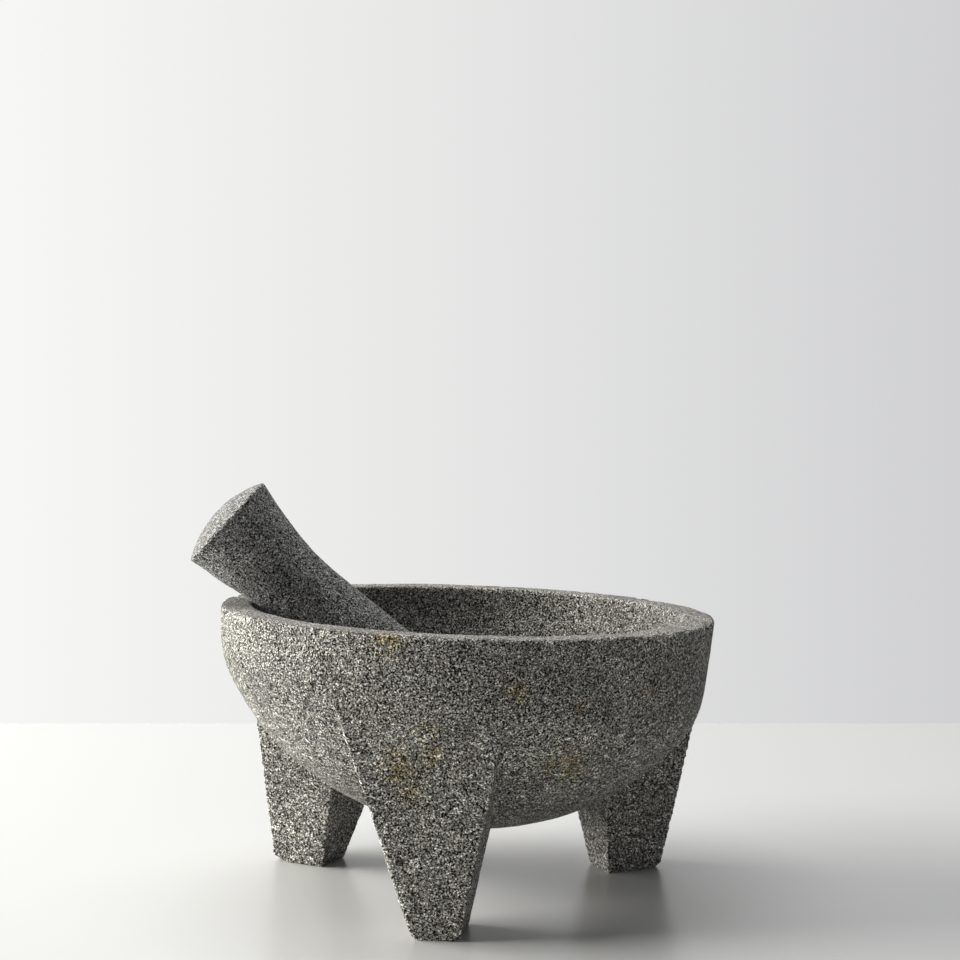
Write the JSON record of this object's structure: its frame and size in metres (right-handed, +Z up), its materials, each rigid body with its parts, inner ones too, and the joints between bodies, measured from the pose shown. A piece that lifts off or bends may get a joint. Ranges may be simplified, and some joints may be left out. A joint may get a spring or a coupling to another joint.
{
  "type": "molcajete",
  "caption": "Round three-legged stone grinding bowl carved from one block, with a loose waisted stone pestle leaning in it.",
  "frame": {"origin": "bottom centre of the whole object's box, with the tejolote at rest in the bowl, on the plane of the three soles", "axes": "+Z up, -Y towards the front leg, +X to the right of somebody facing the front leg; the tejolote leans out towards -X"},
  "size_m": [0.3522, 0.3305, 0.2738],
  "materials": {
    "mortar_stone": "pecked and rubbed vesicular basalt, pitted, matt",
    "tejolote_stone": "finer, darker pecked basalt, matt"
  },
  "bodies": {
    "mortar_body": {"mortar": "mortar_stone"},
    "tejolote_body": {"tejolote": "tejolote_stone"}
  },
  "joints": [
    {"name": "tejolote_lift", "type": "slide", "parent": "mortar_body", "child": "tejolote_body", "axis": [0, 0, 1], "range_m": [0, 0.16]}
  ]
}
